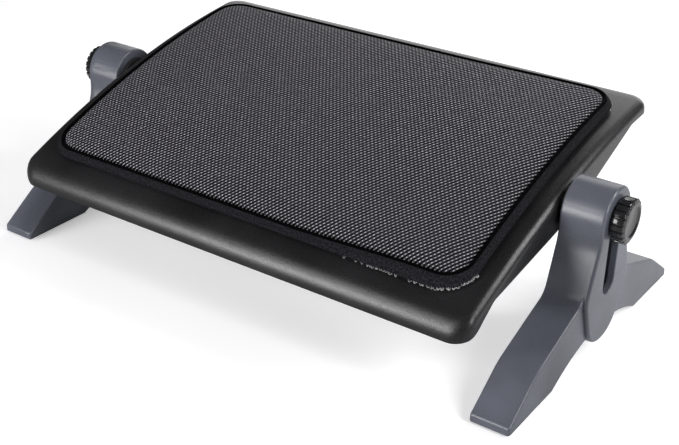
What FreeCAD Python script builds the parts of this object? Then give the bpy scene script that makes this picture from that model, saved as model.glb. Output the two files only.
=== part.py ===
"""Tilting under desk footrest: crowned tray with a soft pad, carried between two legs.

Millimetres. X runs across the tray, Y towards the back, Z up. The origin is on the
floor, midway between the legs and straight under the tilt axis. The tray is built
level about the tilt axis and then tipped to the angle it is shown at.
"""

import FreeCAD, Part
import math
import os

os.makedirs("parts", exist_ok=True)
Vector = FreeCAD.Vector
X_AXIS = Vector(1, 0, 0)
Z_AXIS = Vector(0, 0, 1)

# Driving dimensions: where the tray hangs
axis_height = 118.2         # tilt axis above the floor, at the top of the slots
tilt_shown = 15.0           # degrees, front edge low

# Driving dimensions: tray
tray_width = 450.0
tray_front = 161.0          # tilt axis to the front edge, level
tray_back = 153.5           # tilt axis to the back edge, level
deck_rise = 16.8            # top of the deck above the tilt axis
deck_crown_radius = 880.0   # the deck is arched from front to back
plan_corner = 17.4          # tray corners seen from above
front_roll = 17.0           # waterfall front edge
side_roll = 7.0
back_roll = 10.0
end_sections = 6            # sections that round each end of the tray
wall = 2.6                  # skirt
deck_thickness = 3.0
skirt_front_drop = 12.6     # lower edge of the skirt under the tilt axis
skirt_back_drop = 6.9
skirt_kink_drop = 1.0       # where the side skirt is shallowest
skirt_belly_drop = 7.6      # and where it is deepest, beside the axis
kink_front = 119.0
kink_back = 114.0
rib_thickness = 2.0
rib_depth = 5.5
ribs_along = 7              # ribs that run front to back
ribs_across = 4             # ribs that run side to side

# Driving dimensions: pivot
journal_clearance = 0.3     # round boss on the tray, in the slot that it slides in
journal_end_gap = 2.0       # the boss stops short of the leg's outer face
hub_radius = 12.0           # thick hub inside the tray behind each boss
hub_length = 26.0
hub_web = 8.0               # rib that ties the hub to the deck
insert_radius = 6.0
insert_length = 22.0
stud_radius = 4.0
stud_clearance = 0.08
stud_grip = 20.0            # length of stud inside the insert

# Driving dimensions: legs
side_gap = 3.3              # tray's side to the leg's inner face
foot_width = 32.6
tongue_proud = 3.6          # raised post face over the foot's outer face
tongue_thickness = 9.0
head_radius = 24.8
shoulder_drop = 17.0        # the post starts to widen this far under the axis
shoulder_round = 40.0
knee_spread = 13.7          # side of the head to the knee
knee_drop = 59.2            # tilt axis down to the knee
knee_round = 14.0
foot_slope = 0.36           # fall of the foot's top from the knee to the ankle
ankle_reach = 38.0          # toe to the ankle, where the foot turns down
ankle_round = 60.0
foot_reach = 145.4          # centre of the leg to the toe
toe_height = 7.6
toe_round = 3.0
arch_half = 77.0
arch_rise = 19.0
leg_edge_chamfer = 1.5
slot_width = 20.0
slot_travel = 55.7          # how far the boss may slide down
slot_edge_chamfer = 1.2

# Driving dimensions: raised face of the post
face_shoulder_drop = 24.1
face_shoulder_round = 18.0
face_flare = 18.5           # side of the head to the corner that the belly rounds off
face_flare_drop = 55.2
face_straight = 1.2         # left between the shoulder's round and the belly's
face_tip_half = 17.1        # centre to the corner that the tongue's end rounds off
face_tip_round = 26.0
face_bottom = 8.6
face_edge_chamfer = 2.0

# Driving dimensions: rubber feet under the toes
foot_pad_proud = 1.2
foot_pad_thickness = 2.4
foot_pad_length = 52.0
foot_pad_margin = 5.0
foot_pad_toe_gap = 6.0
foot_pad_corner = 4.0       # corners cut off across

# Driving dimensions: washers and clamp knobs
running_gap = 0.15          # between faces that slide on each other
friction_washer_radius = 17.0
clamp_washer_radius = 14.5
clamp_washer_thickness = 1.5
washer_bore_clearance = 0.1
knob_radius = 18.1
knob_height = 10.6
knob_flutes = 20
groove_width = 2.9
groove_depth = 1.2
knob_dish_radius = 13.2
knob_dish_depth = 1.5
knob_edge_chamfer = 1.4
knob_stud_depth = 7.0
stud_tip_chamfer = 0.8

# Driving dimensions: pad and what holds it on the deck
pad_side_margin = 14.5      # tray's side to the pad
pad_front_margin = 24.0
pad_back_margin = 22.5
pad_corner = 25.0
pad_thickness = 8.4
pad_bevel = 6.4             # the pad's side draws in over this much
pad_skin = 1.2              # cover cloth, edge band and base sheet
fastener_thickness = 0.8    # each half of the hook and loop tape
seat_gap = 0.3              # between the loop tape and the pad it carries
tape_length = 60.0
tape_width = 24.0
tape_inset = 26.0           # pad edge to the middle of a tape

# Sizes that follow from them
half_width = tray_width / 2
leg_inner = half_width + side_gap
foot_outer = leg_inner + foot_width
tongue_outer = foot_outer + tongue_proud
slot_radius = slot_width / 2
slot_low = axis_height - slot_travel
journal_radius = slot_radius - journal_clearance
journal_end = tongue_outer - journal_end_gap
washer_in = half_width + running_gap
washer_out = leg_inner - running_gap
clamp_in = tongue_outer + running_gap
clamp_out = clamp_in + clamp_washer_thickness
knob_in = clamp_out + running_gap
knob_out = knob_in + knob_height
crown_centre = deck_rise - deck_crown_radius
pad_width = tray_width - 2 * pad_side_margin
pad_depth = tray_front + tray_back - pad_front_margin - pad_back_margin
pad_shift = (tray_back - pad_back_margin - tray_front + pad_front_margin) / 2
tape_top = 2 * fastener_thickness
pad_bottom = tape_top + seat_gap
pad_top = pad_bottom + pad_thickness
pad_side = pad_bevel + pad_skin
overshoot = 60.0            # cutting shapes reach this far past what they cut
past = 1.0                  # and bores this far past their ends
close = 1e-4


def turned(radius, start, end, y=0.0, z=0.0):
    """Round bar along X between two places."""
    return Part.makeCylinder(radius, end - start, Vector(start, y, z), X_AXIS)


def slab(x0, x1, y0, y1, z0, z1):
    """Rectangular block between two corners."""
    return Part.makeBox(x1 - x0, y1 - y0, z1 - z0, Vector(x0, y0, z0))


def mirrored(shape):
    """The same shape on the other side of the centre plane."""
    return shape.mirror(Vector(0, 0, 0), X_AXIS)


def hung(shape):
    """Tip a shape that was built level about the tilt axis, and lift it to the axis."""
    out = shape.copy()
    out.rotate(Vector(0, 0, 0), X_AXIS, tilt_shown)
    out.translate(Vector(0, 0, axis_height))
    return out


def raised(shape):
    """Lift a shape built on the tilt axis without tipping it."""
    out = shape.copy()
    out.translate(Vector(0, 0, axis_height))
    return out


def extruded(wire, length):
    """Solid of a flat outline pushed along X."""
    return Part.Face(wire).extrude(X_AXIS * length)


def corner_cut(radius, inset):
    """How far a round corner has drawn back at a distance inside its edge."""
    if inset >= radius:
        return 0.0
    return radius - math.sqrt(radius**2 - (radius - inset) ** 2)


def corner_steps(radius):
    """Distances inside an edge that divide a quarter turn evenly, from the inside out."""
    turn = math.pi / 2 / (end_sections - 1)
    return [radius * (1 - math.sin(turn * i)) for i in range(end_sections)]


def end_stations(half, corner):
    """Places along X where the end of a rounded form gets a section."""
    return [half - step for step in corner_steps(corner)]


def tray_section(x, inset):
    """Section of the tray's outer form at x, or of the form inset by a wall's thickness."""
    thick = deck_thickness if inset > 0 else 0.0
    depth_in = half_width - inset - abs(x)
    cut = corner_cut(plan_corner - inset, depth_in)
    drop = corner_cut(side_roll - inset, depth_in)
    front = -tray_front + inset + cut
    back = tray_back - inset - cut
    crown = deck_crown_radius - thick
    middle = crown_centre - drop
    roll_front = front_roll - inset
    roll_back = back_roll - inset
    low = -overshoot

    def roll(edge, radius):
        """Arc between an upright edge and the crown: its two ends and middle."""
        side = 1 if edge > 0 else -1
        y = edge - side * radius
        z = middle + math.sqrt((crown - radius) ** 2 - y**2)
        lean = math.atan2(z - middle, y)
        upright = 0.0 if side > 0 else math.pi
        half = (lean + upright) / 2
        on_edge = Vector(x, edge, z)
        on_arc = Vector(x, y + radius * math.cos(half), z + radius * math.sin(half))
        on_crown = Vector(x, y + radius * math.cos(lean), z + radius * math.sin(lean))
        return on_edge, on_arc, on_crown

    front_edge, front_mid, front_top = roll(front, roll_front)
    back_edge, back_mid, back_top = roll(back, roll_back)
    lower_front = Vector(x, front, low)
    lower_back = Vector(x, back, low)
    peak = Vector(x, 0, middle + crown)
    return Part.Wire([
        Part.LineSegment(lower_front, front_edge).toShape(),
        Part.Arc(front_edge, front_mid, front_top).toShape(),
        Part.Arc(front_top, peak, back_top).toShape(),
        Part.Arc(back_top, back_mid, back_edge).toShape(),
        Part.LineSegment(back_edge, lower_back).toShape(),
        Part.LineSegment(lower_back, lower_front).toShape(),
    ])


def rounded_form(section, half, corner, *values):
    """Long form with rounded ends: one straight middle and a ruled loft at each end."""
    stations = end_stations(half, corner)
    end = Part.makeLoft([section(x, *values) for x in stations], True, True)
    middle = Part.Face(section(-stations[0], *values)).extrude(X_AXIS * 2 * stations[0])
    return middle.fuse([end, mirrored(end)]).removeSplitter()


def tray_form(inset):
    """Solid of the tray's outside, or of its hollow."""
    return rounded_form(tray_section, half_width - inset, plan_corner - inset, inset)


def skirt_trim():
    """Everything under the skirt's lower edge, seen from the side."""
    start = -half_width - overshoot
    corner_front = Vector(start, -tray_front - overshoot, -skirt_front_drop)
    lip_front = Vector(start, -tray_front + plan_corner / 2, -skirt_front_drop)
    kink_a = Vector(start, -kink_front, -skirt_kink_drop)
    belly = Vector(start, (kink_back - kink_front) / 2, -skirt_belly_drop)
    kink_b = Vector(start, kink_back, -skirt_kink_drop)
    lip_back = Vector(start, tray_back - plan_corner / 2, -skirt_back_drop)
    corner_back = Vector(start, tray_back + overshoot, -skirt_back_drop)
    low_back = Vector(start, tray_back + overshoot, -2 * overshoot)
    low_front = Vector(start, -tray_front - overshoot, -2 * overshoot)
    wire = Part.Wire([
        Part.LineSegment(corner_front, lip_front).toShape(),
        Part.LineSegment(lip_front, kink_a).toShape(),
        Part.Arc(kink_a, belly, kink_b).toShape(),
        Part.LineSegment(kink_b, lip_back).toShape(),
        Part.LineSegment(lip_back, corner_back).toShape(),
        Part.LineSegment(corner_back, low_back).toShape(),
        Part.LineSegment(low_back, low_front).toShape(),
        Part.LineSegment(low_front, corner_front).toShape(),
    ])
    return extruded(wire, -2 * start)


def crown_slab(lower, upper):
    """Arched slab between two heights over the top of the deck, or under it if negative."""
    reach = tray_front + overshoot
    outer = turned(deck_crown_radius + upper, -half_width, half_width, 0, crown_centre)
    inner = turned(deck_crown_radius + lower, -half_width, half_width, 0, crown_centre)
    window = slab(-half_width, half_width, -reach, reach, -overshoot, overshoot)
    return window.common(outer).cut(inner)


def tray_ribs(hollow):
    """Grid of ribs under the deck, trimmed to the hollow."""
    depth = tray_front + tray_back
    bars = []
    for i in range(ribs_along):
        x = -half_width + tray_width * (i + 1) / (ribs_along + 1)
        bars.append(slab(x - rib_thickness / 2, x + rib_thickness / 2,
                         -tray_front, tray_back, -overshoot, overshoot))
    for i in range(ribs_across):
        y = -tray_front + depth * (i + 1) / (ribs_across + 1)
        bars.append(slab(-half_width, half_width,
                         y - rib_thickness / 2, y + rib_thickness / 2,
                         -overshoot, overshoot))
    grid = bars[0].fuse(bars[1:])
    band = crown_slab(-deck_thickness - rib_depth, -deck_thickness / 2)
    return grid.common(band).common(hollow)


def pivot_boss():
    """Hub, web and journal on the right side of the tray."""
    hub_start = half_width - hub_length
    hub = turned(hub_radius, hub_start, half_width)
    web = slab(hub_start, half_width - wall / 2, -hub_web / 2, hub_web / 2,
               0, deck_rise - deck_thickness / 2)
    journal = turned(journal_radius, half_width - wall, journal_end)
    return hub.fuse([web, journal])


def insert_seat():
    """Blind bore for the threaded insert, with room for the stud's end."""
    start = journal_end - insert_length
    seat = turned(insert_radius, start, journal_end + past)
    relief = turned(stud_radius + stud_clearance, start - stud_radius, start + past)
    return seat.fuse(relief)


def tray_shell():
    """Moulded tray: arched deck, rolled rim, skirts, ribs and pivot bosses."""
    hollow = tray_form(wall)
    shell = tray_form(0).cut(skirt_trim()).cut(hollow)
    boss = pivot_boss()
    seat = insert_seat()
    shell = shell.fuse([tray_ribs(hollow), boss, mirrored(boss)])
    shell = shell.cut([seat, mirrored(seat)])
    return hung(shell.removeSplitter())


def threaded_insert():
    """Metal insert in the boss; the clamp stud screws into it."""
    start = journal_end - insert_length
    sleeve = turned(insert_radius, start, journal_end)
    bore = turned(stud_radius + stud_clearance, start - past, journal_end + past)
    return raised(sleeve.cut(bore))


def leg_outline(x):
    """Side view of the leg: round head, post, two long feet and the arch between."""
    shoulder = axis_height - shoulder_drop
    knee = head_radius + knee_spread
    ankle = foot_reach - ankle_reach
    knee_height = axis_height - knee_drop
    ankle_height = knee_height - foot_slope * (ankle - knee)
    chain = [
        (head_radius, axis_height, 0),
        (head_radius, shoulder, shoulder_round),
        (knee, knee_height, knee_round),
        (ankle, ankle_height, ankle_round),
        (foot_reach, toe_height, toe_round),
        (foot_reach, foot_pad_proud, 0),
    ]
    top = Vector(x, 0, axis_height + head_radius)
    head_ends = [Vector(x, side * head_radius, axis_height) for side in (-1, 1)]
    toes = [Vector(x, side * foot_reach, foot_pad_proud) for side in (-1, 1)]
    heels = [Vector(x, side * arch_half, foot_pad_proud) for side in (-1, 1)]
    crown = Vector(x, 0, foot_pad_proud + arch_rise)
    edges = [
        Part.Arc(head_ends[0], top, head_ends[1]).toShape(),
        Part.LineSegment(toes[1], heels[1]).toShape(),
        Part.Arc(heels[1], crown, heels[0]).toShape(),
        Part.LineSegment(heels[0], toes[0]).toShape(),
    ]
    edges += side_of_leg(chain, x, 1)
    edges += side_of_leg(chain, x, -1)
    return Part.Wire(Part.__sortEdges__(edges))


def side_of_leg(chain, x, side):
    """Open run of lines and arcs through rounded corners, on one side of the leg."""
    edges = []
    previous = Vector(x, side * chain[0][0], chain[0][1])
    for i in range(1, len(chain) - 1):
        y, z, radius = chain[i]
        here = Vector(x, side * y, z)
        before = Vector(x, side * chain[i - 1][0], chain[i - 1][1]) - here
        after = Vector(x, side * chain[i + 1][0], chain[i + 1][1]) - here
        before.normalize()
        after.normalize()
        half = before.getAngle(after) / 2
        reach = radius / math.tan(half)
        middle = before + after
        middle.normalize()
        centre = here + middle * (radius / math.sin(half))
        start = here + before * reach
        end = here + after * reach
        edges.append(Part.LineSegment(previous, start).toShape())
        edges.append(Part.Arc(start, centre - middle * radius, end).toShape())
        previous = end
    last = Vector(x, side * chain[-1][0], chain[-1][1])
    edges.append(Part.LineSegment(previous, last).toShape())
    return edges


def belly_round(shoulder, flare, tip):
    """Round at the flare that leaves a short straight under the shoulder's round."""
    down = Vector(0, shoulder[0] - flare[0], shoulder[1] - flare[1])
    onward = Vector(0, tip[0] - flare[0], tip[1] - flare[1])
    shoulder_reach = face_shoulder_round * math.tan(Z_AXIS.getAngle(down) / 2)
    room = down.Length - shoulder_reach - face_straight
    return room * math.tan(down.getAngle(onward) / 2)


def tongue_outline(x):
    """Raised face of the post: round head, waist, belly, and a tongue hung in the arch."""
    shoulder = (head_radius, axis_height - face_shoulder_drop)
    flare = (head_radius + face_flare, axis_height - face_flare_drop)
    tip = (face_tip_half, face_bottom)
    chain = [
        (head_radius, axis_height, 0),
        (*shoulder, face_shoulder_round),
        (*flare, belly_round(shoulder, flare, tip)),
        (*tip, face_tip_round),
        (0, face_bottom, 0),
    ]
    top = Vector(x, 0, axis_height + head_radius)
    head_ends = [Vector(x, side * head_radius, axis_height) for side in (-1, 1)]
    edges = [Part.Arc(head_ends[0], top, head_ends[1]).toShape()]
    edges += side_of_leg(chain, x, 1)
    edges += side_of_leg(chain, x, -1)
    return Part.Wire(Part.__sortEdges__(edges))


def face_edges(shape, x):
    """Edges of a shape that lie wholly in the plane at x."""
    picked = []
    for edge in shape.Edges:
        box = edge.BoundBox
        if abs(box.XMin - x) < close and abs(box.XMax - x) < close:
            picked.append(edge)
    return picked


def slot_cutter():
    """Upright slot with round ends, right through the post."""
    start = leg_inner - past
    end = tongue_outer + past
    ends = [turned(slot_radius, start, end, 0, z) for z in (slot_low, axis_height)]
    middle = slab(start, end, -slot_radius, slot_radius, slot_low, axis_height)
    return ends[0].fuse([ends[1], middle]).removeSplitter()


def slot_mouth():
    """Chamfer around the slot's outer mouth."""
    deep = tongue_outer - slot_edge_chamfer
    wide = slot_radius + slot_edge_chamfer
    cones = []
    for z in (slot_low, axis_height):
        foot = Vector(deep, 0, z)
        cones.append(Part.makeCone(slot_radius, wide, slot_edge_chamfer, foot, X_AXIS))
    profile = Part.makePolygon([
        Vector(deep, -slot_radius, slot_low),
        Vector(deep, slot_radius, slot_low),
        Vector(tongue_outer, wide, slot_low),
        Vector(tongue_outer, -wide, slot_low),
        Vector(deep, -slot_radius, slot_low),
    ])
    middle = Part.Face(profile).extrude(Z_AXIS * slot_travel)
    return cones[0].fuse([cones[1], middle])


def foot_pad(side):
    """Rubber pad with cut corners under one toe of the right leg, from the floor up."""
    y_out = foot_reach - foot_pad_toe_gap
    y_in = y_out - foot_pad_length
    x_in = leg_inner + foot_pad_margin
    x_out = foot_outer - foot_pad_margin
    low, high = (y_in, y_out) if side > 0 else (-y_out, -y_in)
    block = slab(x_in, x_out, low, high, 0, foot_pad_thickness)
    return block.makeChamfer(foot_pad_corner, upright_edges(block))


def upright_edges(shape):
    """Edges that stand straight up."""
    return [e for e in shape.Edges if e.BoundBox.XLength + e.BoundBox.YLength < close]


def leg():
    """Moulded leg on the right side."""
    base = extruded(leg_outline(leg_inner), foot_width)
    rims = face_edges(base, leg_inner) + face_edges(base, foot_outer)
    base = base.makeChamfer(leg_edge_chamfer, rims)
    tongue = extruded(tongue_outline(tongue_outer - tongue_thickness), tongue_thickness)
    tongue = tongue.makeChamfer(face_edge_chamfer, face_edges(tongue, tongue_outer))
    body = base.fuse(tongue)
    body = body.cut([slot_cutter(), slot_mouth()])
    body = body.cut([foot_pad(1), foot_pad(-1)])
    return body.removeSplitter()


def washer(radius, bore_radius, start, end):
    """Flat ring on the tilt axis between two places along X."""
    bore = turned(bore_radius + washer_bore_clearance, start - past, end + past)
    return raised(turned(radius, start, end).cut(bore))


def knob_groove():
    """One V-shaped groove in the knob's rim."""
    outside = knob_radius + past
    spread = groove_width / 2 * (groove_depth + past) / groove_depth
    profile = Part.makePolygon([
        Vector(knob_in - past, -spread, outside),
        Vector(knob_in - past, spread, outside),
        Vector(knob_in - past, 0, knob_radius - groove_depth),
        Vector(knob_in - past, -spread, outside),
    ])
    return extruded(profile, knob_height + 2 * past)


def knob():
    """Fluted clamp knob with a raised rim round a shallow dish."""
    dish_floor = knob_out - knob_dish_depth
    profile = Part.makePolygon([
        Vector(knob_in, 0, 0),
        Vector(knob_in, knob_radius, 0),
        Vector(knob_out - knob_edge_chamfer, knob_radius, 0),
        Vector(knob_out, knob_radius - knob_edge_chamfer, 0),
        Vector(knob_out, knob_dish_radius, 0),
        Vector(dish_floor, knob_dish_radius, 0),
        Vector(dish_floor, 0, 0),
        Vector(knob_in, 0, 0),
    ])
    body = Part.Face(profile).revolve(Vector(0, 0, 0), X_AXIS, 360)
    grooves = []
    for i in range(knob_flutes):
        groove = knob_groove()
        groove.rotate(Vector(0, 0, 0), X_AXIS, 360 * i / knob_flutes)
        grooves.append(groove)
    body = body.cut(grooves)
    body = body.cut(turned(stud_radius, knob_in - past, knob_in + knob_stud_depth))
    return raised(body)


def clamp_stud():
    """Threaded stud moulded into the knob."""
    start = journal_end - stud_grip
    bar = turned(stud_radius, start, knob_in + knob_stud_depth)
    return raised(bar.makeChamfer(stud_tip_chamfer, face_edges(bar, start)))


def pad_block(inset, low, high, bevel):
    """Arched block with round corners, drawn in from the pad's outline."""
    half_x = pad_width / 2 - inset
    half_y = pad_depth / 2 - inset
    block = slab(-half_x, half_x, pad_shift - half_y, pad_shift + half_y, -overshoot, overshoot)
    block = block.makeFillet(pad_corner - inset, upright_edges(block))
    block = block.common(crown_slab(low, high))
    if bevel > 0:
        block = block.makeChamfer(bevel, edges_at_height(block, high))
    return block


def edges_at_height(shape, height):
    """Edges that lie wholly at one height over the crown of the deck."""
    picked = []
    for edge in shape.Edges:
        points = edge.discretize(5)
        gaps = [abs(math.hypot(p.y, p.z - crown_centre) - deck_crown_radius - height)
                for p in points]
        if max(gaps) < 100 * close:
            picked.append(edge)
    return picked


def pad_pieces():
    """Base sheet, foam core, mesh cover on top and the band sewn round the edge."""
    whole = pad_block(0, pad_bottom, pad_top, pad_bevel)
    sheet_top = pad_bottom + pad_skin
    cover_bottom = pad_top - pad_skin
    base = pad_block(0, pad_bottom, sheet_top, 0)
    foam = pad_block(pad_skin, sheet_top, cover_bottom, pad_bevel - pad_skin)
    cover = pad_block(pad_side, cover_bottom, pad_top, 0)
    band = whole.cut([base, foam, cover])
    return base, foam, cover, band


def tape_patch(x, y, low, high):
    """One rectangle of tape that follows the crown."""
    block = slab(x - tape_length / 2, x + tape_length / 2,
                 y - tape_width / 2, y + tape_width / 2, -overshoot, overshoot)
    return block.common(crown_slab(low, high))


def tapes(low, high):
    """A tape near each corner of the pad."""
    x = pad_width / 2 - tape_inset - tape_length / 2
    y = pad_depth / 2 - tape_inset
    patches = []
    for side in (-1, 1):
        for end in (-1, 1):
            patches.append(tape_patch(side * x, pad_shift + end * y, low, high))
    return hung(Part.makeCompound(patches))


right_leg = leg()
right_insert = threaded_insert()
right_friction_washer = washer(friction_washer_radius, journal_radius, washer_in, washer_out)
right_clamp_washer = washer(clamp_washer_radius, stud_radius, clamp_in, clamp_out)
right_knob = knob()
right_stud = clamp_stud()
front_foot_pad = foot_pad(-1)
rear_foot_pad = foot_pad(1)
base_sheet, foam_core, mesh_cover, edge_band = pad_pieces()

nodes = {
    "right_leg": right_leg,
    "left_leg": mirrored(right_leg),
    "right_front_foot_pad": front_foot_pad,
    "right_rear_foot_pad": rear_foot_pad,
    "left_front_foot_pad": mirrored(front_foot_pad),
    "left_rear_foot_pad": mirrored(rear_foot_pad),
    "tray_shell": tray_shell(),
    "right_threaded_insert": right_insert,
    "left_threaded_insert": mirrored(right_insert),
    "right_friction_washer": right_friction_washer,
    "left_friction_washer": mirrored(right_friction_washer),
    "right_clamp_washer": right_clamp_washer,
    "left_clamp_washer": mirrored(right_clamp_washer),
    "right_knob": right_knob,
    "left_knob": mirrored(right_knob),
    "right_clamp_stud": right_stud,
    "left_clamp_stud": mirrored(right_stud),
    "hook_tapes": tapes(0, fastener_thickness),
    "loop_tapes": tapes(fastener_thickness, tape_top),
    "pad_base_sheet": hung(base_sheet),
    "pad_foam": hung(foam_core),
    "pad_mesh_cover": hung(mesh_cover),
    "pad_edge_band": hung(edge_band),
}

for name, shape in nodes.items():
    box = shape.BoundBox
    sizes = [round(length, 1) for length in (box.XLength, box.YLength, box.ZLength)]
    litres = round(shape.Volume / 1e6, 4)
    print(name, "valid", shape.isValid(), "solids", len(shape.Solids), litres, "litres", sizes)
    shape.exportStep("parts/" + name + ".step")
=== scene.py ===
"""Looks of a tilting under desk footrest, built around the fixed frame in metres."""

import math
import random

import bmesh
import bpy
from bpy.props import FloatProperty, FloatVectorProperty, IntProperty, PointerProperty
from bpy.types import Operator, Panel, PropertyGroup
from mathutils import Matrix, Vector


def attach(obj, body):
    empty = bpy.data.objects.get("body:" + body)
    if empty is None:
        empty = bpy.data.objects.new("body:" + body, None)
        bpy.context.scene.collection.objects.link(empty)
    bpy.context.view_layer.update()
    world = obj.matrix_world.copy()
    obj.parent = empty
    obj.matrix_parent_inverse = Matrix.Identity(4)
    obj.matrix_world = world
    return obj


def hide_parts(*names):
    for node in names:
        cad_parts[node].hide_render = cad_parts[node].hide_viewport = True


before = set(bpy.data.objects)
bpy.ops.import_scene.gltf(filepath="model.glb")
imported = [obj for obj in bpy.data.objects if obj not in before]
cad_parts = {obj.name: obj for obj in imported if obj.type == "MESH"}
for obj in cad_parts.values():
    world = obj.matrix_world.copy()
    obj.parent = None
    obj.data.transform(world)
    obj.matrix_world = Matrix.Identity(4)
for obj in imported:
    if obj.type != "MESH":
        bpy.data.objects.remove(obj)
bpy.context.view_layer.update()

bl_info = {
    "name": "Tilting footrest",
    "version": (1, 0, 0),
    "blender": (4, 5, 0),
    "location": "View3D > Sidebar > Footrest",
    "description": "Models the looks of a tilting under desk footrest",
    "category": "Object",
}

# Where the tray hangs: it is modelled level about the tilt axis, then tipped and lifted.
AXIS_HEIGHT = 0.1182
TILT_SHOWN = math.radians(15.0)

# Arch of the deck, from front to back.
CROWN_RADIUS = 0.880
DECK_RISE = 0.0168

# Faces of the right leg and knob across the footrest.
LEG_INNER = 0.2283
FOOT_OUTER = 0.2609
FACE_OUTER = 0.2645
KNOB_IN = 0.2663
KNOB_OUT = 0.2769

# Points that lie closer than this are one point.
MERGE = 1e-6


def length(name, description, default):
    """Property for a size in metres."""
    return FloatProperty(name=name, description=description, default=default, unit="LENGTH")


def colour(name, description, default):
    """Property for a colour."""
    return FloatVectorProperty(name=name, description=description, default=default, size=3,
                               subtype="COLOR")


class TraySettings(PropertyGroup):
    """Sizes and colour of the tray."""

    width: length("Width", "Across the tray", 0.450)
    front: length("Front", "Tilt axis to the front edge", 0.161)
    back: length("Back", "Tilt axis to the back edge", 0.1535)
    corner: length("Corner", "Round of the corners seen from above", 0.0174)
    front_roll: length("Front roll", "Round of the front edge", 0.0168)
    side_roll: length("Side roll", "Round of the side edges", 0.0075)
    back_roll: length("Back roll", "Round of the back edge", 0.010)
    wall: length("Wall", "Thickness of the moulding", 0.0026)
    rib_thickness: length("Rib thickness", "Ribs under the deck", 0.0020)
    rib_depth: length("Rib depth", "How far the ribs stand down", 0.0055)
    colour: colour("Colour", "Moulded plastic", (0.0085, 0.0083, 0.0092))


class LegSettings(PropertyGroup):
    """Sizes and colour of the legs."""

    head: length("Head", "Radius of the leg's round head", 0.0248)
    toe: length("Toe", "Middle of the leg to the toe", 0.1454)
    edge_round: length("Edge round", "Round of the foot's edges", 0.0018)
    face_round: length("Face round", "Round of the raised face", 0.0024)
    slot_width: length("Slot width", "Width of the upright slot", 0.020)
    slot_travel: length("Slot travel", "How far the boss may slide down", 0.0557)
    slot_wall: length("Slot wall", "Depth of the wall round the slot", 0.0053)
    mouth_round: length("Mouth round", "Round of the slot's mouth", 0.0009)
    colour: colour("Colour", "Moulded plastic", (0.071, 0.076, 0.094))


class KnobSettings(PropertyGroup):
    """Sizes and colour of the clamp knobs."""

    radius: length("Radius", "Over the ribs", 0.0181)
    ribs: IntProperty(name="Ribs", description="Ribs round the rim", default=20)
    groove: length("Groove", "Depth between the ribs", 0.0017)
    dish: length("Dish", "Radius of the dish in the cap", 0.0124)
    dish_depth: length("Dish depth", "Depth of the dish", 0.0015)
    colour: colour("Colour", "Moulded plastic", (0.010, 0.010, 0.011))


class PadSettings(PropertyGroup):
    """Sizes and colours of the pad."""

    width: length("Width", "Across the pad", 0.421)
    depth: length("Depth", "Front to back", 0.268)
    shift: length("Shift", "Pad's middle from the tilt axis", -0.003)
    corner: length("Corner", "Round of the corners seen from above", 0.028)
    base: length("Base", "Underside over the deck", 0.0019)
    hem: length("Hem", "Band's lower edge over the deck", 0.0031)
    seam: length("Seam", "Piping over the deck", 0.0081)
    seam_inset: length("Seam inset", "Pad's edge to the piping", 0.0078)
    top: length("Top", "Mesh over the deck", 0.0106)
    roll: length("Roll", "Round of the mesh beside the piping", 0.0045)
    drawn_in: length("Drawn in", "How far the seam's front right end is pulled back", 0.0042)
    pushed_out: length("Pushed out", "How far the seam's rear right end is pushed back", 0.0024)
    piping: length("Piping", "Radius of the piping", 0.0013)
    mesh_colour: colour("Mesh", "Air mesh yarn", (0.056, 0.054, 0.061))
    band_colour: colour("Band", "Edge band", (0.0065, 0.0063, 0.0078))
    thread_colour: colour("Thread", "Loose overlock thread", (0.85, 0.85, 0.86))


class FootrestSettings(PropertyGroup):
    """All settings of the footrest."""

    tray: PointerProperty(type=TraySettings)
    legs: PointerProperty(type=LegSettings)
    knobs: PointerProperty(type=KnobSettings)
    pad: PointerProperty(type=PadSettings)


def settings():
    """The scene's settings for this footrest."""
    return bpy.context.scene.footrest


# Materials

def feed(tree, socket, value):
    """Link a socket to another one, or set it to a constant."""
    if isinstance(value, bpy.types.NodeSocket):
        tree.links.new(value, socket)
    elif socket.type == "RGBA":
        socket.default_value = (*value, 1.0)
    else:
        socket.default_value = value


def node(tree, kind, **values):
    """New node; each value goes to the socket of its name, or else to the property."""
    made = tree.nodes.new(kind)
    for name, value in values.items():
        socket = made.inputs.get(name.replace("_", " "))
        if socket is None:
            setattr(made, name, value)
        else:
            feed(tree, socket, value)
    return made


def new_material(name, tint, roughness, shine=0.5, metal=0.0):
    """Material with a principled shader, its node tree and that shader."""
    material = bpy.data.materials.new(name)
    material.use_nodes = True
    tree = material.node_tree
    shader = tree.nodes["Principled BSDF"]
    feed(tree, shader.inputs["Base Color"], tint)
    feed(tree, shader.inputs["Roughness"], roughness)
    feed(tree, shader.inputs["Specular IOR Level"], shine)
    feed(tree, shader.inputs["Metallic"], metal)
    return material, tree, shader


def math_node(tree, operation, *values):
    """Math node fed by numbers or sockets; gives its output."""
    made = node(tree, "ShaderNodeMath", operation=operation)
    for socket, value in zip(made.inputs, values):
        feed(tree, socket, value)
    return made.outputs[0]


def noise(tree, vector, scale, detail=2.0, roughness=0.5):
    """Noise texture on a vector."""
    made = node(tree, "ShaderNodeTexNoise", Vector=vector, Scale=scale, Detail=detail,
                Roughness=roughness)
    return made.outputs["Fac"]


def ramp(tree, factor, low, high, start=0.0, end=1.0):
    """Map a factor from one range to another, clamped."""
    made = node(tree, "ShaderNodeMapRange", Value=factor, From_Min=start, From_Max=end,
                To_Min=low, To_Max=high)
    return made.outputs["Result"]


def mix_colours(tree, factor, first, second):
    """Mix two colours or sockets by a factor."""
    made = node(tree, "ShaderNodeMix", data_type="RGBA", Factor=factor)
    colours = [socket for socket in made.inputs if socket.type == "RGBA"]
    for socket, value in zip(colours, (first, second)):
        feed(tree, socket, value)
    return [socket for socket in made.outputs if socket.type == "RGBA"][0]


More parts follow.
